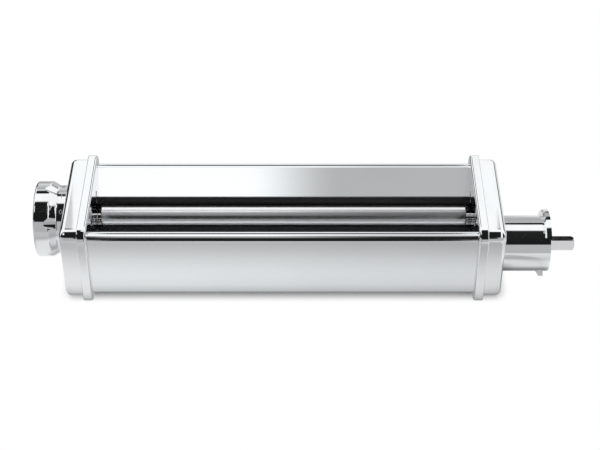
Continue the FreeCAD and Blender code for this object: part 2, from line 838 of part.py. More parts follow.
def gear_shape(first_tooth):
    """An involute gear whose pitch circles touch when the rollers are at their closest."""
    teeth = int(number(sizes.gear_teeth))
    closest = number(sizes.roller_diameter + sizes.gap_thin)
    pitch_radius = closest / 2
    tip_radius = pitch_radius + number(sizes.tooth_addendum)
    root_radius = closest - tip_radius - number(sizes.tooth_tip_clearance)
    pressure = math.radians(number(sizes.pressure_angle))
    base_radius = pitch_radius * math.cos(pressure)
    tooth_width = math.pi * pitch_radius / teeth - number(sizes.tooth_backlash)
    half_tooth = tooth_width / (2 * pitch_radius) + math.tan(pressure) - pressure

    def flank_angle(radius):
        lean = math.acos(base_radius / radius)
        return half_tooth - math.tan(lean) + lean

    flank_radii = [base_radius + (tip_radius - base_radius) * (step / 5) ** 2 for step in range(6)]
    pitch = 2 * math.pi / teeth
    edges = []
    for tooth in range(teeth):
        centre = first_tooth + tooth * pitch
        rise = [polar(radius, centre - flank_angle(radius)) for radius in flank_radii]
        fall = [polar(radius, centre + flank_angle(radius)) for radius in reversed(flank_radii)]
        foot = polar(root_radius, centre - half_tooth)
        far_foot = polar(root_radius, centre + half_tooth)
        tip_half = flank_angle(tip_radius)
        edges.append(Part.makeLine(foot, rise[0]))
        edges.append(smooth_curve(rise))
        edges.append(arc_between(tip_radius, centre - tip_half, centre + tip_half))
        edges.append(smooth_curve(fall))
        edges.append(Part.makeLine(fall[-1], far_foot))
        edges.append(arc_between(root_radius, centre + half_tooth, centre + pitch - half_tooth))
    outline = Part.Wire(edges)
    bore = number(journal_radius)
    flat = math.asin(number(shaft_radius) / bore)
    chord = Part.makeLine(polar(bore, flat), polar(bore, math.pi - flat))
    seat = Part.Wire([arc_between(bore, math.pi - flat, 2 * math.pi + flat), chord])
    return extrude_x([outline, seat], number(sizes.gear_width))


def make_gear(label, axis_y, first_tooth):
    gear = doc.addObject("Part::Feature", label)
    gear.Shape = gear_shape(first_tooth)
    place(gear, middle + gear_inner, axis_y, axis_height)
    return keep(gear)


def make_bearing_slide(label, side):
    """A block that slides in the side plate's window, with a flange that laps the plate's outside."""
    def outline(half):
        return [
            (slide_front, axis_height - half), (slide_rear, axis_height - half),
            (slide_rear, axis_height + half), (slide_front, axis_height + half),
        ]

    whole = sizes.plate_gauge + sizes.slide_flange_gauge
    body = new_body(label)
    block = new_sketch(body, "YZ_Plane")
    draw_polygon(block, outline(slide_half_height))
    pad(body, block, whole)
    flange_start = sizes.plate_gauge if side == RIGHT else 0
    flange = new_sketch(body, "YZ_Plane", flange_start)
    draw_polygon(flange, outline(slide_flange_half))
    pad(body, flange, sizes.slide_flange_gauge)
    drill(body, 0, whole, [(rear_axis, axis_height, bush_radius)])
    tenon = sizes.bar_tenon_diameter / 2
    tenons = [(rear_axis + bar_offset, axis_height + rise, tenon) for rise in (bar_rise, -bar_rise)]
    tenon_start = 0 if side == RIGHT else whole - sizes.bar_tenon_length
    drill(body, tenon_start, sizes.bar_tenon_length, tenons)
    if side == LEFT:
        drill(body, 0, whole, [(rear_axis + pin_offset, axis_height, sizes.pin_diameter / 2)])
    place(body, middle + plate_inner if side == RIGHT else middle - slide_outer, 0, 0)
    return keep(body)


def make_carriage():
    make_bearing_slide("left_bearing_slide", LEFT)
    make_bearing_slide("right_bearing_slide", RIGHT)
    bore = journal_radius + sizes.running_clearance
    bush = ring(plate_inner, slide_outer, bore, bush_radius)
    keep(turned("rear_left_bush", LEFT, rear_axis, axis_height, bush))
    keep(turned("rear_right_bush", RIGHT, rear_axis, axis_height, bush))
    tenon_end = plate_inner + sizes.bar_tenon_length
    tenon = sizes.bar_tenon_diameter / 2
    steps = [
        (-tenon_end, -plate_inner, tenon),
        (-plate_inner, plate_inner, sizes.bar_diameter / 2),
        (plate_inner, tenon_end, tenon),
    ]
    for label, rise in (("upper_carriage_bar", bar_rise), ("lower_carriage_bar", -bar_rise)):
        keep(turned(label, RIGHT, rear_axis + bar_offset, axis_height + rise, rod(steps)))
    groove_floor = gear_inner + sizes.scroll_groove_depth
    pin = [(plate_inner, groove_floor - sizes.pin_end_clearance, sizes.pin_diameter / 2)]
    keep(turned("follower_pin", LEFT, rear_axis + pin_offset, axis_height, rod(pin)))


def make_scraper(label, turn, axis_y):
    """A blade under a roller, hung on a bar by an eye along its whole length."""
    length = 2 * roller_end
    top = -roller_radius - sizes.scraper_clearance
    low = top - sizes.scraper_gauge
    eye = sizes.bar_diameter / 2
    body = new_body(label)
    blade = new_sketch(body, "YZ_Plane")
    draw_polygon(blade, [
        (-sizes.scraper_lead, top),
        (bar_offset - sizes.scraper_web, top),
        (bar_offset - sizes.scraper_web, -bar_rise),
        (bar_offset, -bar_rise),
        (bar_offset, low),
        (sizes.scraper_tip - sizes.scraper_lead, low),
    ])
    pad(body, blade, length)
    tube = new_sketch(body, "YZ_Plane")
    draw_circle(tube, bar_offset, -bar_rise, eye + sizes.scraper_eye_wall)
    pad(body, tube, length)
    drill(body, 0, length, [(bar_offset, -bar_rise, eye)])
    start = middle + roller_end if turn else middle - roller_end
    place(body, start, axis_y, axis_height, turn)
    return keep(body)


def make_scrapers():
    bar = [(-plate_inner, plate_inner, sizes.bar_diameter / 2)]
    front_bar = front_axis - bar_offset
    keep(turned("front_scraper_bar", RIGHT, front_bar, axis_height - bar_rise, rod(bar)))
    make_scraper("front_scraper", HALF_TURN, front_axis)
    make_scraper("rear_scraper", None, rear_axis)


def pie(label, inner, outer, inner_radius, outer_radius, start, span):
    """A sector of a cone on the front roller's axis. Angles go from the front over the top."""
    sector = doc.addObject("Part::Cone", label)
    bind(sector, Radius1=inner_radius, Radius2=outer_radius, Height=outer - inner, Angle=span)
    turn_to_start = FreeCAD.Rotation(FreeCAD.Vector(0, 0, 1), 270 - number(start) - number(span))
    place(sector, middle + inner, front_axis, axis_height, Z_TO_X.multiply(turn_to_start))
    return sector


def make_drive_hub():
    """The bayonet hub: a drum with a part rim at its end, a lug below and a spigot locked into the cap."""
    radius = sizes.hub_diameter / 2
    spigot_radius = sizes.hub_spigot_diameter / 2
    bore = sizes.hub_bore_diameter / 2
    drum = round_bar("hub_drum", wall_outer, hub_end, front_axis, axis_height, radius)
    spigot = hub_spigot("hub_flat_spigot", nut_inner, wall_outer, spigot_radius, 0)
    rim_radius = radius + sizes.rim_height
    rim_place = (sizes.rim_start, sizes.rim_span)
    rim_inner = hub_end - sizes.rim_width
    bevel_end = rim_inner + sizes.rim_bevel
    bevel_radius = rim_radius - sizes.rim_bevel
    bevel = pie("hub_rim_bevel", rim_inner, bevel_end, bevel_radius, rim_radius, *rim_place)
    rim = pie("hub_rim", bevel_end, hub_end, rim_radius, rim_radius, *rim_place)
    lug_radius = radius + sizes.lug_height
    lug_place = (sizes.lug_start, sizes.lug_span)
    lug_outer = hub_end - sizes.lug_inset
    lug_inner = lug_outer - sizes.lug_width
    ramp_end = lug_inner + sizes.lug_ramp
    ramp = pie("hub_lug_ramp", lug_inner, ramp_end, radius, lug_radius, *lug_place)
    lug = pie("hub_lug", ramp_end, lug_outer, lug_radius, lug_radius, *lug_place)
    solid = joined("hub_solid", drum, spigot, bevel, rim, ramp, lug)
    web_inner = hub_end - sizes.hub_web
    dish = hub_end - sizes.hub_dish_depth
    hollow = turned("hub_hollow", RIGHT, front_axis, axis_height, rod([
        (nut_inner, web_inner, bore),
        (web_inner, dish, hub_bush_radius),
        (dish, hub_end, sizes.hub_dish_diameter / 2),
    ]))
    keep(cut("drive_hub", solid, hollow))
    bush = ring(web_inner, dish, shaft_radius + sizes.running_clearance, hub_bush_radius)
    keep(turned("hub_bush", RIGHT, front_axis, axis_height, bush))
    nut = ring(nut_inner, wall_inner, spigot_radius, spigot_radius + sizes.hub_nut_wall)
    keep(turned("hub_nut", RIGHT, front_axis, axis_height, nut))


def make_knob():
    """A hollow knob with a neck, a flared row of finger scallops and a plain rim."""
    rim_radius = sizes.knob_diameter / 2
    neck_radius = rim_radius - sizes.knob_flare_height
    skirt = neck_radius - sizes.scallop_depth - sizes.knob_wall
    core = sizes.knob_core_diameter / 2
    web_inner = knob_end - sizes.knob_web
    dish = knob_end - sizes.knob_dish_depth
    screw = sizes.knob_screw_diameter / 2
    blank = turned("knob_blank", LEFT, knob_axis, axis_height, [
        (knob_inner, screw), (knob_inner, core), (web_inner, core), (web_inner, skirt),
        (knob_inner, skirt), (knob_inner, neck_radius), (knob_flare, neck_radius),
        (knob_shoulder, rim_radius), (knob_end, rim_radius), (knob_end, core), (dish, core), (dish, screw),
    ])

    def circle_at(distance, radius):
        x, r = number(distance), number(radius)

        def chosen(edge):
            box = edge.BoundBox
            return abs(box.XMin - x) < 1e-4 and box.XLength < 1e-4 and abs(box.YMax - r) < 1e-3

        return chosen

    round_edges(blank, sizes.knob_rim_edge, circle_at(knob_end, rim_radius))
    round_edges(blank, sizes.knob_flare_edge, circle_at(knob_flare, neck_radius))
    round_edges(blank, sizes.knob_flare_edge, circle_at(knob_shoulder, rim_radius))
    bore_bar = round_left_bar("knob_bore_bar", knob_inner, spindle_end, sizes.spindle_diameter / 2)
    bore = flatted("knob_bore", bore_bar, knob_inner, spindle_end)
    keep(cut("thickness_knob", blank, joined("knob_cuts", bore, *scallop_cutters(neck_radius))))
    plug_inner = knob_end - sizes.knob_plug_gauge
    keep(turned("knob_plug", LEFT, knob_axis, axis_height, rod([(plug_inner, knob_end, core)])))
    head = dish + sizes.knob_screw_head_height
    steps = [(spindle_end - sizes.knob_screw_reach, dish, screw)]
    steps.append((dish, head, sizes.knob_screw_head_diameter / 2))
    keep(turned("knob_screw", LEFT, knob_axis, axis_height, rod(steps)))


def scallop_cutters(neck_radius):
    """Cones round the knob, deepest at the neck. Each runs out on the rim as a pointed scallop."""
    floor = neck_radius - sizes.scallop_depth
    point = sizes.scallop_radius - sizes.scallop_depth - sizes.knob_flare_height
    centre = floor + sizes.scallop_radius
    count = int(number(sizes.scallop_count))
    cutters = []
    for index in range(count):
        turn = sizes.scallop_turn + index * 360 / count
        cutter = doc.addObject("Part::Cone", "scallop_cutter")
        bind(cutter, Radius1=point, Radius2=sizes.scallop_radius, Height=sizes.scallop_length)
        across = knob_axis + centre * cosine(turn)
        up = axis_height + centre * sine(turn)
        place(cutter, middle - knob_flare - sizes.scallop_length, across, up, Z_TO_X)
        cutters.append(cutter)
    return cutters


def round_left_bar(label, inner, outer, radius):
    """A plain cylinder on the knob's axis."""
    bar = doc.addObject("Part::Cylinder", label)
    bind(bar, Radius=radius, Height=outer - inner)
    place(bar, middle - outer, knob_axis, axis_height, Z_TO_X)
    return bar


def flatted(label, bar, inner, outer):
    """A bar on the knob's axis with a flat along its top."""
    radius = sizes.spindle_diameter / 2
    block = doc.addObject("Part::Box", label + "_block")
    bind(block, Length=outer - inner, Width=2 * radius, Height=radius + sizes.spindle_flat)
    place(block, middle - outer, knob_axis - radius, axis_height - radius)
    result = doc.addObject("Part::Common", label)
    result.Base = bar
    result.Tool = block
    return result


def make_spindle():
    """The knob's spindle, with the scroll disc on its inner end and a flat inside the knob."""
    radius = sizes.spindle_diameter / 2
    collar_outer = wall_inner - sizes.bush_flange_gauge - sizes.spindle_play
    thread = sizes.knob_screw_diameter / 2
    thread_end = spindle_end - sizes.knob_screw_reach
    outline = rod([
        (gear_inner, scroll_outer, sizes.spindle_end_diameter / 2),
        (scroll_outer, collar_outer, radius + sizes.spindle_collar),
        (collar_outer, spindle_end, radius),
    ])
    outline[-1:] = [(spindle_end, thread), (thread_end, thread), (thread_end, 0)]
    blank = turned("spindle_blank", LEFT, knob_axis, axis_height, outline)
    flat = doc.addObject("Part::Box", "spindle_flat_cut")
    bind(flat, Length=spindle_end - knob_inner, Width=2 * radius, Height=radius)
    place(flat, middle - spindle_end, knob_axis - radius, axis_height + sizes.spindle_flat)
    keep(cut("knob_spindle", blank, flat))
    flange_inner = wall_inner - sizes.bush_flange_gauge
    bore = radius + sizes.running_clearance
    flange = spindle_bush_radius + sizes.bush_flange
    keep(turned("spindle_bush", LEFT, knob_axis, axis_height, [
        (flange_inner, bore), (wall_outer, bore), (wall_outer, spindle_bush_radius),
        (wall_inner, spindle_bush_radius), (wall_inner, flange), (flange_inner, flange),
    ]))


def scroll_shape():
    """A disc with a spiral groove on its inner face and a click notch for each setting on its outer face.

    Turning the knob by its whole range takes the groove's radius, straight behind the axis, from that of
    the widest gap to that of the thinnest. The disc is drawn with its inner face at its right-hand side.
    """
    gauge = number(sizes.scroll_gauge)
    pin_radius = number(sizes.pin_diameter) / 2
    half_groove = pin_radius + number(sizes.scroll_groove_clearance)
    widest = number(rear_axis + pin_offset - knob_axis)
    outer = widest + half_groove + number(sizes.scroll_rim)
    sweep = math.radians(number(sizes.knob_range))
    rate = number(travel) / sweep
    disc = Part.makeCylinder(outer, gauge, FreeCAD.Vector(-gauge, 0, 0), FreeCAD.Vector(1, 0, 0))
    hole_radius = number(sizes.spindle_end_diameter) / 2
    hole = Part.makeCylinder(hole_radius, gauge, FreeCAD.Vector(-gauge, 0, 0), FreeCAD.Vector(1, 0, 0))
    turns = [-sweep * step / 24 for step in range(25)]

    def beside(angle, offset):
        """A point at offset from the spiral's middle line, square to it."""
        radius = widest + rate * angle
        outward = polar(1, angle)
        along = polar(1, angle + math.pi / 2)
        normal = (outward * radius - along * rate) / math.hypot(radius, rate)
        return outward * radius + normal * offset

    def cap_arc(angle, sign):
        radius = widest + rate * angle
        ahead = polar(1, angle + math.pi / 2) * radius + polar(1, angle) * rate
        ahead = ahead / math.hypot(radius, rate)
        middle_point = polar(radius, angle) + ahead * (sign * half_groove)
        return Part.Arc(beside(angle, half_groove), middle_point, beside(angle, -half_groove)).toShape()

    groove_wire = Part.Wire(Part.__sortEdges__([
        smooth_curve([beside(angle, half_groove) for angle in turns]),
        cap_arc(turns[-1], -1),
        smooth_curve([beside(angle, -half_groove) for angle in turns]),
        cap_arc(turns[0], 1),
    ]))
    depth = number(sizes.scroll_groove_depth)
    groove = extrude_x([groove_wire], -depth)
    notch_half = number(sizes.notch_width) / 2
    notch_depth = number(sizes.notch_depth)
    notch_centre = number(sizes.notch_ring)
    notch_reach = number(sizes.spring_width)
    notch_corners = [
        FreeCAD.Vector(-gauge, -notch_half, notch_centre - notch_reach),
        FreeCAD.Vector(-gauge, notch_half, notch_centre - notch_reach),
        FreeCAD.Vector(-gauge + notch_depth, 0, notch_centre - notch_reach),
    ]
    notch_face = Part.Face(Part.makePolygon(notch_corners + notch_corners[:1]))
    first_notch = notch_face.extrude(FreeCAD.Vector(0, 0, 2 * notch_reach))
    shape = disc.cut(hole).cut(groove)
    settings = int(number(sizes.settings))
    for setting in range(settings):
        notch = first_notch.copy()
        turn = -number(sizes.knob_range) * setting / (settings - 1)
        notch.rotate(FreeCAD.Vector(0, 0, 0), FreeCAD.Vector(1, 0, 0), turn)
        shape = shape.cut(notch)
    return shape


def make_scroll_disc():
    disc = doc.addObject("Part::Feature", "scroll_disc")
    disc.Shape = scroll_shape()
    place(disc, middle - gear_inner, knob_axis, axis_height)
    return keep(disc)


def make_click_spring():
    """A leaf riveted to the left cap, with a nib that drops into the scroll disc's notches."""
    gauge = sizes.spring_gauge
    near = scroll_outer + sizes.spring_gap + gauge
    tip = scroll_outer - sizes.nib_depth + gauge
    nib_half = sizes.nib_width / 2
    foot_start = -sizes.spring_length
    back = [
        (-wall_inner, foot_start),
        (-wall_inner, foot_start + sizes.spring_foot),
        (-near, -nib_half),
        (-tip, 0),
        (-near, nib_half),
    ]
    front = [(across + gauge, along) for across, along in reversed(back)]
    body = new_body("click_spring")
    sketch = new_sketch(body, "XY_Plane", -sizes.spring_width / 2)
    draw_polygon(sketch, back + front)
    pad(body, sketch, sizes.spring_width)
    rivet_sketch = new_sketch(body, "YZ_Plane", -wall_inner)
    draw_circle(rivet_sketch, rivet_place - knob_axis, 0, sizes.rivet_diameter / 2)
    pocket(body, rivet_sketch, gauge)
    place(body, middle, knob_axis, axis_height + sizes.notch_ring)
    keep(body)
    head_inner = wall_inner - gauge - sizes.rivet_head_height
    steps = [
        (head_inner, wall_inner - gauge, sizes.rivet_head_diameter / 2),
        (wall_inner - gauge, wall_inner + sizes.rivet_reach, sizes.rivet_diameter / 2),
    ]
    keep(turned("click_rivet", LEFT, rivet_place, axis_height + sizes.notch_ring, rod(steps)))


make_panel("front_panel", HALF_TURN)
make_panel("rear_panel", None)
make_side_plate("left_side_plate", LEFT)
make_side_plate("right_side_plate", RIGHT)
make_left_end_cap()
make_right_end_cap()
make_ties()
make_front_bearings()
make_roller("front_roller", front_axis)
make_front_roller_shafts()
make_roller("rear_roller", rear_axis)
make_rear_roller_shafts()
make_gear("drive_gear", front_axis, 0.0)
make_gear("driven_gear", rear_axis, math.pi + math.pi / number(sizes.gear_teeth))
make_clip("drive_gear_clip", front_axis)
make_clip("driven_gear_clip", rear_axis)
make_carriage()
make_scrapers()
make_drive_hub()
make_knob()
make_spindle()
make_scroll_disc()
make_click_spring()
doc.recompute()

for item in doc.Objects:
    if "Invalid" in item.State or "Error" in item.State:
        raise RuntimeError(f"{item.Label} failed: {item.State}")
for part in sub_parts:
    if part.Shape.isNull() or not part.Shape.isValid():
        raise RuntimeError(f"{part.Label} has no valid shape")

os.makedirs("parts", exist_ok=True)
for part in sub_parts:
    part.Shape.exportStep(f"parts/{part.Label}.step")
    print(f"{part.Label}: {len(part.Shape.Solids)} solids, {part.Shape.Volume:.1f} mm3")
print(len(sub_parts), "sub-parts")
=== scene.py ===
import json
import math

import bpy
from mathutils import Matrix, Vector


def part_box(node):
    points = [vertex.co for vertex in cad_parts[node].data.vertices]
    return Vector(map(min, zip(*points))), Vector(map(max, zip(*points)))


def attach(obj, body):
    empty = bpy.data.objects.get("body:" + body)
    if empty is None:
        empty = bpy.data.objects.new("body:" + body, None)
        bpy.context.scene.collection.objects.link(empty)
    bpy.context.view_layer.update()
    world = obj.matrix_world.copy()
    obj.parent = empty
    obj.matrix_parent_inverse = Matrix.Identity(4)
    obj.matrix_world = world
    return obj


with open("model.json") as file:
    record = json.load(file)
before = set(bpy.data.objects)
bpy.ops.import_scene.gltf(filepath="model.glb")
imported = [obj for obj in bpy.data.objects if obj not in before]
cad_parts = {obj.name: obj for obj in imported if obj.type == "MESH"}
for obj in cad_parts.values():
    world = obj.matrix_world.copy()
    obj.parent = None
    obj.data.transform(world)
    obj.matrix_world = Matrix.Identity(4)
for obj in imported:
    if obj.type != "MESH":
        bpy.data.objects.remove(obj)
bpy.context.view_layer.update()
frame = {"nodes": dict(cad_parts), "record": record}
nodes = frame["nodes"]
scene = bpy.context.scene
scene.view_settings.view_transform = "Standard"
print("frame loaded:", len(nodes), "nodes")


# one wire of a node tree: sums on wires add their Math nodes
class Wire:
    def __init__(self, tree, socket=None):
        self.tree = tree
        self.socket = socket

    def node(self, kind, settings=None, inputs=None, take=0):
        made = self.tree.nodes.new(kind)
        for name, value in (settings or {}).items():
            if name == "stops":
                ramp = made.color_ramp
                while len(ramp.elements) < len(value):
                    ramp.elements.new(0.5)
                for element, (place, shade) in zip(ramp.elements, value):
                    element.position = place
                    element.color = (*shade, 1.0)
            else:
                setattr(made, name, value)
        for name, value in (inputs or {}).items():
            if isinstance(value, Wire):
                self.tree.links.new(value.socket, made.inputs[name])
            else:
                made.inputs[name].default_value = value
        return Wire(self.tree, made.outputs[take]) if len(made.outputs) else made

    def maths(self, operation, *values):
        return self.node("ShaderNodeMath", {"operation": operation}, dict(enumerate(values)))

    def __add__(self, other):
        return self.maths("ADD", self, other)

    def __radd__(self, other):
        return self.maths("ADD", other, self)

    def __sub__(self, other):
        return self.maths("SUBTRACT", self, other)

    def __rsub__(self, other):
        return self.maths("SUBTRACT", other, self)

    def __mul__(self, other):
        return self.maths("MULTIPLY", self, other)

    def __rmul__(self, other):
        return self.maths("MULTIPLY", other, self)

    def __truediv__(self, other):
        return self.maths("DIVIDE", self, other)

    def __rtruediv__(self, other):
        return self.maths("DIVIDE", other, self)

    def __abs__(self):
        return self.maths("ABSOLUTE", self)

    def atLeast(self, low):
        return self.maths("MAXIMUM", self, low)

    def root(self):
        return self.maths("SQRT", self)

    def fade(self, low, high, atLow=0.0, atHigh=1.0):  # smooth step from low to high
        span = {0: self, 1: low, 2: high, 3: atLow, 4: atHigh}
        return self.node("ShaderNodeMapRange", {"interpolation_type": "SMOOTHSTEP"}, span)

    def part(self, axis):  # one axis of a place or a direction
        return self.node("ShaderNodeSeparateXYZ", inputs={0: self}, take=axis)


def newFinish(name):
    finish = bpy.data.materials.new(name)
    finish.use_nodes = True
    finish.node_tree.nodes.clear()
    return finish, Wire(finish.node_tree)


def endFinish(wire, shader):
    wire.node("ShaderNodeOutputMaterial", inputs={"Surface": shader})


# noise on Object coordinates: stretched for a grain, and faded where only its peaks count
def noise(wire, scale=1.0, detail=2.0, rough=0.5, stretch=(1.0, 1.0, 1.0), fade=None):
    spot = wire.node("ShaderNodeTexCoord", take="Object")
    spot = wire.node("ShaderNodeMapping", inputs={"Vector": spot, "Scale": stretch})
    values = {"Vector": spot, "Scale": scale, "Detail": detail, "Roughness": rough}
    cloud = wire.node("ShaderNodeTexNoise", inputs=values)
    return cloud.fade(*fade) if fade else cloud


# a surface between the look's plain shade and roughness and its second ones, with a fine relief
def endSurface(wire, look, second, amount, height):
    shades = {0: amount, 6: look["shade"], 7: look[second + "Shade"]}
    relief = {"Height": height, "Strength": look["relief"], "Distance": look["reliefHeight"]}
    inputs = {
        "Base Color": wire.node("ShaderNodeMix", {"data_type": "RGBA"}, shades, take=2),
        "Metallic": look["metallic"],
        "Roughness": amount * (look[second + "Roughness"] - look["roughness"]) + look["roughness"],
        "Normal": wire.node("ShaderNodeBump", inputs=relief),
    }
    if "specular" in look:
        inputs["Specular IOR Level"] = look["specular"]
    endFinish(wire, wire.node("ShaderNodeBsdfPrincipled", inputs=inputs))


chromeLook = {
    "shade": (0.84, 0.862, 0.872, 1.0),
    "hazeShade": (0.785, 0.803, 0.816, 1.0),
    "metallic": 1.0,
    "roughness": 0.02,
    "hazeRoughness": 0.06,
    "wipes": {"scale": 38.0, "detail": 4.0, "rough": 0.6, "stretch": (1.0, 0.35, 1.6), "fade": (0.5, 0.72)},
    "wipeShare": 0.7,
    "specks": {"scale": 900.0, "detail": 1.0, "fade": (0.66, 0.74)},
    "speckShare": 0.3,
    "waves": {"scale": 55.0, "detail": 1.0},
    "relief": 1.0,
    "reliefHeight": 0.000008,
}


def mirrorChrome():
    look = chromeLook
    finish, wire = newFinish("mirrorChrome")
    wipes = noise(wire, **look["wipes"])
    specks = noise(wire, **look["specks"])
    haze = wipes * look["wipeShare"] + specks * look["speckShare"]
    endSurface(wire, look, "haze", haze, noise(wire, **look["waves"]))
    return finish


sheetLook = {
    "shade": (0.832, 0.857, 0.868, 1.0),
    "hazeShade": (0.79, 0.814, 0.83, 1.0),
    "metallic": 1.0,
    "roughness": 0.05,
    "hazeRoughness": 0.085,
    "lines": {"rough": 0.6, "stretch": (3.0, 2600.0, 2600.0)},
    "lineShare": 0.25,
    "clouds": {"scale": 16.0, "detail": 3.0, "stretch": (0.6, 1.0, 1.0), "fade": (0.4, 0.75)},
    "cloudShare": 0.75,
    "relief": 1.0,
    "reliefHeight": 0.000004,
}


def polishedSheet():
    look = sheetLook
    finish, wire = newFinish("polishedSheet")
    lines = noise(wire, **look["lines"])
    haze = noise(wire, **look["clouds"]) * look["cloudShare"] + lines * look["lineShare"]
    endSurface(wire, look, "haze", haze, lines)
    return finish


rollerLook = {
    "shade": (0.84, 0.845, 0.86, 1.0),
    "wornShade": (0.76, 0.77, 0.785, 1.0),
    "metallic": 1.0,
    "roughness": 0.19,
    "wornRoughness": 0.25,
    "lines": {"detail": 3.0, "stretch": (3.0, 90.0, 90.0), "fade": (0.4, 0.8)},
    "rings": {"stretch": (1500.0, 12.0, 12.0)},
    "relief": 1.0,
    "reliefHeight": 0.000006,
}


def groundRoller():
    look = rollerLook
    finish, wire = newFinish("groundRoller")
    endSurface(wire, look, "worn", noise(wire, **look["lines"]), noise(wire, **look["rings"]))
    return finish


plateLook = {
    "shade": (0.80, 0.81, 0.83, 1.0),
    "dullShade": (0.72, 0.73, 0.75, 1.0),
    "metallic": 1.0,
    "roughness": 0.03,
    "dullRoughness": 0.08,
    "clouds": {"scale": 26.0, "detail": 4.0, "rough": 0.6, "stretch": (1.0, 1.0, 0.5), "fade": (0.38, 0.7)},
    "grain": {"stretch": (40.0, 40.0, 900.0)},
    "relief": 1.0,
    "reliefHeight": 0.000003,
}


def mirrorPlate():
    look = plateLook
    finish, wire = newFinish("mirrorPlate")
    endSurface(wire, look, "dull", noise(wire, **look["clouds"]), noise(wire, **look["grain"]))
    return finish


shaftLook = {
    "shade": (0.80, 0.80, 0.82, 1.0),
    "ringShade": (0.72, 0.72, 0.74, 1.0),
    "metallic": 1.0,
    "roughness": 0.03,
    "ringRoughness": 0.07,
    "rings": {"stretch": (2200.0, 30.0, 30.0)},
    "relief": 1.0,
    "reliefHeight": 0.000002,
}


def turnedShaft():
    look = shaftLook
    finish, wire = newFinish("turnedShaft")
    rings = noise(wire, **look["rings"])
    endSurface(wire, look, "ring", rings, rings)
    return finish


gearLook = {
    "shade": (0.42, 0.42, 0.43, 1.0),
    "oilShade": (0.26, 0.25, 0.23, 1.0),
    "metallic": 1.0,
    "roughness": 0.42,
    "oilRoughness": 0.2,
    "oil": {"scale": 160.0, "detail": 3.0, "fade": (0.45, 0.65)},
    "pores": {"scale": 2600.0, "fade": (0.45, 0.6)},
    "relief": 0.6,
    "reliefHeight": 0.00004,
}


def sinteredGear():
    look = gearLook
    finish, wire = newFinish("sinteredGear")
    endSurface(wire, look, "oil", noise(wire, **look["oil"]), noise(wire, **look["pores"]))
    return finish


screwLook = {
    "shade": (0.66, 0.67, 0.69, 1.0),
    "zincShade": (0.52, 0.54, 0.58, 1.0),
    "metallic": 1.0,
    "roughness": 0.2,
    "zincRoughness": 0.38,
    "spangle": {"scale": 700.0, "detail": 3.0, "rough": 0.6, "fade": (0.4, 0.65)},
    "relief": 0.5,
    "reliefHeight": 0.00003,
}


def zincScrew():
    look = screwLook
    finish, wire = newFinish("zincScrew")
    spangle = noise(wire, **look["spangle"])
    endSurface(wire, look, "zinc", spangle, spangle)
    return finish


bronzeLook = {
    "shade": (0.62, 0.42, 0.20, 1.0),
    "darkShade": (0.36, 0.22, 0.10, 1.0),
    "metallic": 1.0,
    "roughness": 0.34,
    "darkRoughness": 0.5,
    "grains": {"scale": 2400.0, "fade": (0.4, 0.62)},
    "relief": 0.6,
    "reliefHeight": 0.00003,
}


def oiledBronze():
    look = bronzeLook
    finish, wire = newFinish("oiledBronze")
    grains = noise(wire, **look["grains"])
    endSurface(wire, look, "dark", grains, grains)
    return finish


scraperLook = {
    "shade": (0.82, 0.82, 0.79, 1.0),
    "flowShade": (0.74, 0.74, 0.71, 1.0),
    "metallic": 0.0,
    "roughness": 0.38,
    "flowRoughness": 0.52,
    "flow": {"detail": 4.0, "rough": 0.6, "stretch": (6.0, 60.0, 60.0), "fade": (0.35, 0.75)},
    "skin": {"scale": 1800.0},
    "relief": 0.4,
    "reliefHeight": 0.00004,
}


def mouldedScraper():
    look = scraperLook
    finish, wire = newFinish("mouldedScraper")
    endSurface(wire, look, "flow", noise(wire, **look["flow"]), noise(wire, **look["skin"]))
    return finish


finishOf = {
    "chrome_shell": mirrorChrome(),
    "panel_sheet": polishedSheet(),
    "plate_steel": mirrorPlate(),
    "roller_steel": groundRoller(),
    "shaft_steel": turnedShaft(),
    "gear_steel": sinteredGear(),
    "fastener_steel": zincScrew(),
    "bush_bronze": oiledBronze(),
    "scraper_plastic": mouldedScraper(),
}
for subpart in frame["record"]["subparts"]:
    node = nodes[subpart["node"]]
    node.data.materials.clear()
    node.data.materials.append(finishOf[subpart["material_slot"]])


# the settings marked round the knob's neck
settingDigits = {
    "count": 10,
    "pitch": 30.0,  # degrees of the knob from one setting to the next
    "firstAngle": 52.0,  # degrees over the front
    "height": 0.0027,
    "heightOfSize": 0.7,  # a digit's height for a text size of 1
    "fromCap": 0.0029,
    "neckInRim": 0.0023,
    "sunk": 0.0001,
    "proud": 0.00008,
    "mergeWithin": 0.000001,
    "shade": (0.62, 0.625, 0.64, 1.0),
    "wornShade": (0.50, 0.505, 0.52, 1.0),
    "metallic": 1.0,
    "roughness": 0.42,
    "wornRoughness": 0.3,
    "wear": {"scale": 1400.0, "detail": 3.0, "fade": (0.4, 0.65)},
    "relief": 0.5,
    "reliefHeight": 0.00001,
}


def filledDigits():
    look = settingDigits
    finish, wire = newFinish("filledDigits")
    wear = noise(wire, **look["wear"])
    endSurface(wire, look, "worn", wear, wear)
    return finish


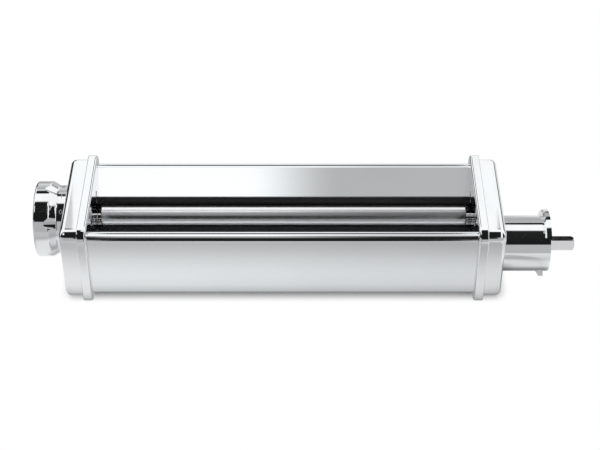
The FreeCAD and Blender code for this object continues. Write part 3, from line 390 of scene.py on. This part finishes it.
def makeDigits():
    look = settingDigits
    low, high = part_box("thickness_knob")
    axisY = (low[1] + high[1]) / 2
    axisZ = (low[2] + high[2]) / 2
    radius = (high[2] - low[2]) / 2 - look["neckInRim"] + (look["proud"] - look["sunk"]) / 2
    digits = []
    for setting in range(look["count"]):
        angle = math.radians(look["firstAngle"] + setting * look["pitch"])
        bpy.ops.object.select_all(action="DESELECT")
        bpy.ops.object.text_add()
        line = bpy.context.object.data
        line.body = str(setting)
        line.align_x = "CENTER"
        line.align_y = "CENTER"
        line.size = look["height"] / look["heightOfSize"]
        line.extrude = (look["proud"] + look["sunk"]) / 2
        bpy.ops.object.convert(target="MESH")
        digit = bpy.context.object
        up = axisZ + radius * math.sin(angle)
        digit.location = (high[0] - look["fromCap"], axisY - radius * math.cos(angle), up)
        digit.rotation_euler = (math.pi / 2 - angle, 0.0, 0.0)
        bpy.ops.object.transform_apply(location=True, rotation=True, scale=True)
        digits.append(digit)
    bpy.ops.object.select_all(action="DESELECT")
    for digit in digits:
        digit.select_set(True)
    bpy.context.view_layer.objects.active = digits[0]
    bpy.ops.object.join()
    piece = bpy.context.object
    piece.name = "settingDigits"
    bpy.ops.object.mode_set(mode="EDIT")
    bpy.ops.mesh.select_all(action="SELECT")
    bpy.ops.mesh.remove_doubles(threshold=look["mergeWithin"])
    bpy.ops.mesh.normals_make_consistent(inside=False)
    bpy.ops.object.mode_set(mode="OBJECT")
    bpy.ops.object.transform_apply(location=True, rotation=True, scale=True)
    piece.data.materials.clear()
    piece.data.materials.append(filledDigits())
    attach(piece, "adjuster")
    print("digits made:", len(piece.data.polygons), "faces")


makeDigits()


# the lower ends of the chutes: a flat edge over the roll of each sheet's lip
feedEdge = {
    "slope": 28.0,  # degrees of the chute
    "lipCorner": (0.0115, 0.0373),  # where the chute's plane meets the lip's
    "nose": 0.0116,
    "knee": 0.0148,  # from here back it runs into the sheet, so that no step shows
    "back": 0.0168,
    "proud": 0.00001,
    "sunk": 0.00002,
    "thickness": 0.0006,
    "noseFall": 0.0005,
    "roll": 0.0002,
    "rollSteps": 3,
    "endGap": 0.0001,
}
# a near-black strip of painted shade under the rear edge, just over its roller
paintedShadeStrip = {
    "face": 0.0113,
    "depth": 0.0009,
    "top": 0.03695,
    "overRoller": 0.0004,
    "roll": 0.00012,
    # painted shade: near black, a little lighter in faint streaks
    "shade": (0.012, 0.012, 0.013, 1.0),
    "rubbedShade": (0.03, 0.03, 0.032, 1.0),
    "metallic": 0.0,
    "specular": 0.25,
    "roughness": 0.34,
    "rubbedRoughness": 0.5,
    "streaks": {"detail": 3.0, "stretch": (9.0, 1200.0, 1200.0), "fade": (0.4, 0.75)},
    "relief": 0.4,
    "reliefHeight": 0.00001,
}


def makeStrip(name, corners, roll):  # a section run along the panels, with its edges rolled
    low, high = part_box("rear_panel")
    left = low[0] + feedEdge["endGap"]
    length = high[0] - low[0] - 2 * feedEdge["endGap"]
    bpy.ops.object.select_all(action="DESELECT")
    bpy.ops.mesh.primitive_circle_add(vertices=len(corners), fill_type="NGON", location=(0.0, 0.0, 0.0))
    piece = bpy.context.object
    piece.name = name
    for index, (back, up) in zip(piece.data.polygons[0].vertices, corners):
        piece.data.vertices[index].co = (left, back, up)
    bpy.ops.object.mode_set(mode="EDIT")
    bpy.ops.mesh.select_all(action="SELECT")
    bpy.ops.mesh.extrude_region_move(TRANSFORM_OT_translate={"value": (length, 0.0, 0.0)})
    bpy.ops.mesh.select_all(action="SELECT")
    bpy.ops.mesh.normals_make_consistent(inside=False)
    bpy.ops.object.mode_set(mode="OBJECT")
    bevel = piece.modifiers.new("roll", "BEVEL")
    bevel.width = roll
    bevel.segments = feedEdge["rollSteps"]
    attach(piece, "frame")
    return piece


def makeFeedEdge(name, side):  # side is 1 at the back and -1 at the front
    look = feedEdge
    slope = math.tan(math.radians(look["slope"]))
    plane = look["lipCorner"][1] - slope * look["lipCorner"][0]
    noseTop = plane + slope * look["nose"] + look["proud"]
    kneeTop = plane + slope * look["knee"] + look["proud"]
    backTop = plane + slope * look["back"] - look["sunk"]
    section = [
        (look["nose"], noseTop), (look["knee"], kneeTop), (look["back"], backTop),
        (look["back"], backTop - look["thickness"]), (look["nose"], noseTop - look["noseFall"]),
    ]
    edge = makeStrip(name, [(side * back, up) for back, up in section], look["roll"])
    edge.data.materials.append(finishOf["panel_sheet"])


# the finish of the painted-shade strip: near-black painted shade
def rubbedWiper():
    look = paintedShadeStrip
    finish, wire = newFinish("rubbedWiper")
    streaks = noise(wire, **look["streaks"])
    endSurface(wire, look, "rubbed", streaks, streaks)
    return finish


# puts in the painted-shade strip over the rear roller
def makeWiper():
    look = paintedShadeStrip
    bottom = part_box("rear_roller")[1][2] + look["overRoller"]
    back = look["face"] + look["depth"]
    corners = [(look["face"], look["top"]), (back, look["top"]), (back, bottom), (look["face"], bottom)]
    shadeStrip = makeStrip("paintedShadeStrip", corners, look["roll"])
    shadeStrip.data.materials.append(rubbedWiper())


makeFeedEdge("rearChuteEdge", 1)
makeFeedEdge("frontChuteEdge", -1)
makeWiper()
print("feed edges and wiper made")


cameraSet = {
    "aim": (-0.00205, 0.0, 0.0267),
    "distance": 0.831,
    "rise": 41.4,  # degrees above the floor
    "focalPixels": 1500.0,
    "imageWidth": 600.0,
    "sensor": 36.0,
    "nearest": 0.01,
}


def setCamera():
    rise = math.radians(cameraSet["rise"])
    aim = cameraSet["aim"]
    back = cameraSet["distance"] * math.cos(rise)
    up = cameraSet["distance"] * math.sin(rise)
    bpy.ops.object.select_all(action="DESELECT")
    bpy.ops.object.camera_add(location=(aim[0], aim[1] - back, aim[2] + up))
    camera = bpy.context.object
    camera.rotation_euler = (math.pi / 2 - rise, 0.0, 0.0)
    camera.data.sensor_width = cameraSet["sensor"]
    camera.data.lens = cameraSet["sensor"] * cameraSet["focalPixels"] / cameraSet["imageWidth"]
    camera.data.clip_start = cameraSet["nearest"]
    camera.data.dof.use_dof = False
    scene.camera = camera


setCamera()
print("camera set")


studio = {
    "floorHalf": 4.0,
    "floorShade": (0.93, 0.93, 0.93, 1.0),
    "white": (1.0, 1.0, 1.0, 1.0),
    "fill": 0.62,
    "topLight": 5.2,
    "topSize": (0.9, 0.6),
    "topSpot": (-0.12, 0.10, 0.85),
}

# what the floor shows round the object: plain to the eye, with its real shadow near the body; where polished
# metal mirrors it, a painted level: painted shadow round the body and under the hub, painted light from under
# the tail outwards, a little darker to the right, and darker behind, far left of the body
floorGlow = {
    "print": (-0.011, 0.0, 0.119, 0.035),  # the body on the floor: its middle and its half sides
    "hubPrint": (0.116, -0.010, 0.016, 0.012),
    # painted shadow under the hub: the mirrored level drops close to the hub
    "hubFade": (0.0, 0.013, 0.35, 1.0),  # two distances from the hub, and the levels there
    "shadePrint": (-0.011, 0.0, 0.115, 0.025),  # the eye sees the shadow here, and white past it
    "whiteTo": 0.01,
    "rampLength": 0.2,
    # the mirrored ramp is a painted contact shadow: dark close to the body, lighter a little way out, darker
    # again further off
    "ramp": [
        (0.0, 0.42), (0.005, 0.6), (0.01, 0.81), (0.016, 0.86), (0.022, 0.85), (0.03, 0.76),
        (0.038, 0.62), (0.045, 0.52), (0.06, 0.52), (0.1, 0.56), (0.2, 0.58),
    ],  # level by the distance from the body
    "leftToRight": (1.05, 0.93),
    # painted light: the mirrored floor is brighter from under the tail outwards
    "underTail": (0.132, 0.143, 1.0, 1.5),
    "sideDark": (0.19, 0.21),
    "backDark": (0.0, 0.012),
    "darkShare": 0.97,
}


def boxReach(along, across, box):  # distance on the floor from a box
    beside = (abs(along - box[0]) - box[2]).atLeast(0.0)
    before = (abs(across - box[1]) - box[3]).atLeast(0.0)
    return (beside * beside + before * before).root()


def makeFloor():
    glow = floorGlow
    bpy.ops.object.select_all(action="DESELECT")
    bpy.ops.mesh.primitive_plane_add(size=2 * studio["floorHalf"], location=(0.0, 0.0, 0.0))
    floor = bpy.context.object
    floor.name = "studioFloor"
    finish, wire = newFinish("paleFloor")
    isCamera = wire.node("ShaderNodeLightPath", take="Is Camera Ray")
    isGloss = wire.node("ShaderNodeLightPath", take="Is Glossy Ray")
    spot = wire.node("ShaderNodeTexCoord", take="Object")
    along = spot.part("X")
    across = spot.part("Y")
    matt = wire.node("ShaderNodeBsdfDiffuse", inputs={"Color": studio["floorShade"]})
    white = wire.node("ShaderNodeEmission", inputs={"Color": studio["white"], "Strength": 1.0})
    isWhite = isCamera * boxReach(along, across, glow["shadePrint"]).fade(0.0, glow["whiteTo"])
    sight = wire.node("ShaderNodeMixShader", inputs={0: isWhite, 1: matt, 2: white})
    # the mirrored level, painted: painted contact shadow by the distance from the body, painted shadow by the
    # hub, painted light past the tail
    stops = [(distance / glow["rampLength"], (level,) * 3) for distance, level in glow["ramp"]]
    reach = boxReach(along, across, glow["print"]) / glow["rampLength"]
    level = wire.node("ShaderNodeValToRGB", {"stops": stops}, {0: reach})
    halfLength = glow["print"][2]
    level = level * along.fade(-halfLength, halfLength, *glow["leftToRight"]) * along.fade(*glow["underTail"])
    level = level * boxReach(along, across, glow["hubPrint"]).fade(*glow["hubFade"])
    isBehind = (glow["print"][0] - along).fade(*glow["sideDark"]) * across.fade(*glow["backDark"])
    level = level * (1.0 - glow["darkShare"] * isBehind)
    mirrored = wire.node("ShaderNodeEmission", inputs={"Color": studio["white"], "Strength": level})
    endFinish(wire, wire.node("ShaderNodeMixShader", inputs={0: isGloss, 1: sight, 2: mirrored}))
    floor.data.materials.append(finish)


# a card above the body, for the chute: pale on the left and grey on the right
chuteCard = {
    "height": 0.5,
    "left": -0.184,
    "right": 0.147,
    "front": -0.08,
    "back": 0.0,
    "leftLevel": 1.2,
    "rightLevel": 0.54,
    "fade": (-0.05, 0.032),
}


def makeChuteCard():
    look = chuteCard
    bpy.ops.object.select_all(action="DESELECT")
    middle = ((look["left"] + look["right"]) / 2, (look["front"] + look["back"]) / 2, look["height"])
    bpy.ops.mesh.primitive_plane_add(size=1.0, location=middle)
    card = bpy.context.object
    card.name = "chuteCard"
    card.scale = (look["right"] - look["left"], look["back"] - look["front"], 1.0)
    bpy.ops.object.transform_apply(location=True, rotation=True, scale=True)
    finish, wire = newFinish("chuteCard")
    along = wire.node("ShaderNodeTexCoord", take="Object").part("X")
    level = along.fade(*look["fade"], look["leftLevel"], look["rightLevel"])
    endFinish(wire, wire.node("ShaderNodeEmission", inputs={"Color": studio["white"], "Strength": level}))
    card.data.materials.append(finish)
    card.visible_camera = False
    card.visible_diffuse = False
    card.visible_shadow = False


# what polished metal mirrors: levels by the angle over the object, 0 front, 90 above, 180 back
cards = {
    "peak": 1.2,  # the highest level, because a ramp's own shades end at 1
    "zones": ["far", "left", "knob", "cap", "body", "bodyRight", "cap", "hub", "tail", "right", "far"],
    "zoneEdges": [
        (-0.66, -0.6), (-0.194, -0.186), (-0.1506, -0.1494), (-0.1341, -0.1329), (-0.03, 0.075),
        (0.1109, 0.1121), (0.1304, 0.1316), (0.1609, 0.1621), (0.186, 0.194), (0.6, 0.66),
    ],  # sideways part of the ray, from one zone to the next
    "knob": [
        (0, 0.5), (30, 0.5), (33, 0.012), (92, 0.012), (97, 1.12), (122, 1.12), (125, 0.01), (134, 0.01),
        (137, 0.7), (142, 0.7), (145, 0.45), (155, 0.55), (180, 0.85),
    ],
    "cap": [(0, 0.5), (20, 0.5), (23, 0.012), (94, 0.012), (98, 1.12), (180, 1.12)],
    "body": [
        (0, 0.42), (3, 0.1), (6, 0.012), (50, 0.012), (60, 0.35), (92, 0.45), (97, 1.2), (122, 1.2),
        (125, 0.01), (147, 0.01), (150, 1.08), (180, 1.0),
    ],
    "bodyRight": [
        (0, 0.42), (3, 0.1), (6, 0.012), (60, 0.012), (70, 0.03), (92, 0.1), (97, 0.85), (124, 0.85),
        (127, 0.01), (147, 0.01), (150, 0.9), (180, 0.85),
    ],
    "hub": [
        (0, 0.52), (34, 0.52), (37, 0.012), (93, 0.02), (98, 1.12), (124, 1.12), (127, 0.01), (135, 0.01),
        (138, 0.6), (142, 0.6), (145, 0.48), (180, 0.5),
    ],
    "tail": [
        (0, 0.52), (34, 0.52), (37, 0.012), (93, 0.02), (98, 1.12), (127, 1.12), (130, 0.01), (143, 0.01),
        (146, 0.48), (168, 0.48), (171, 0.02), (180, 0.02),
    ],
    "left": [
        (0, 0.5), (30, 0.5), (33, 0.012), (60, 0.012), (64, 1.1), (80, 1.1), (84, 0.012), (92, 0.012),
        (97, 1.1), (158, 1.1), (161, 0.02), (180, 0.02),
    ],
    "right": [(0, 0.5), (30, 0.5), (33, 1.1), (160, 1.1), (164, 0.4), (180, 0.4)],
    "far": [(0, 0.5), (30, 0.5), (33, 0.012), (92, 0.012), (97, 1.12), (155, 1.1), (158, 0.02), (180, 0.02)],
}


def makeWorld():
    world = bpy.data.worlds.new("studioWorld")
    world.use_nodes = True
    world.node_tree.nodes.clear()
    scene.world = world
    wire = Wire(world.node_tree)
    ray = wire.node("ShaderNodeTexCoord", take="Generated")
    along = ray.part("X")
    up = ray.part("Z")
    halfTurn = up.maths("ARCTAN2", up, 0.0 - ray.part("Y")) / math.pi  # 0 at the front, 1 at the back

    def bands(zone):
        stops = [(degrees / 180.0, (level / cards["peak"],) * 3) for degrees, level in cards[zone]]
        return wire.node("ShaderNodeValToRGB", {"stops": stops}, {0: halfTurn}) * cards["peak"]

    zones = cards["zones"]
    level = bands(zones[0])
    for edge, zone in zip(cards["zoneEdges"], zones[1:]):
        level = level + along.fade(*edge) * (bands(zone) - level)
    gloss = wire.node("ShaderNodeBackground", inputs={"Color": studio["white"], "Strength": level})
    fill = wire.node("ShaderNodeBackground", inputs={"Color": studio["white"], "Strength": studio["fill"]})
    white = wire.node("ShaderNodeBackground", inputs={"Color": studio["white"], "Strength": 1.0})
    isCamera = wire.node("ShaderNodeLightPath", take="Is Camera Ray")
    isGloss = wire.node("ShaderNodeLightPath", take="Is Glossy Ray")
    lit = wire.node("ShaderNodeMixShader", inputs={0: isGloss, 1: fill, 2: gloss})
    seen = wire.node("ShaderNodeMixShader", inputs={0: isCamera, 1: lit, 2: white})
    wire.node("ShaderNodeOutputWorld", inputs={"Surface": seen})


def makeLight():
    bpy.ops.object.select_all(action="DESELECT")
    bpy.ops.object.light_add(type="AREA", location=studio["topSpot"])
    lamp = bpy.context.object
    lamp.data.shape = "RECTANGLE"
    lamp.data.size, lamp.data.size_y = studio["topSize"]
    lamp.data.energy = studio["topLight"]
    lamp.visible_glossy = False


makeFloor()
makeChuteCard()
makeWorld()
makeLight()
print("studio set")
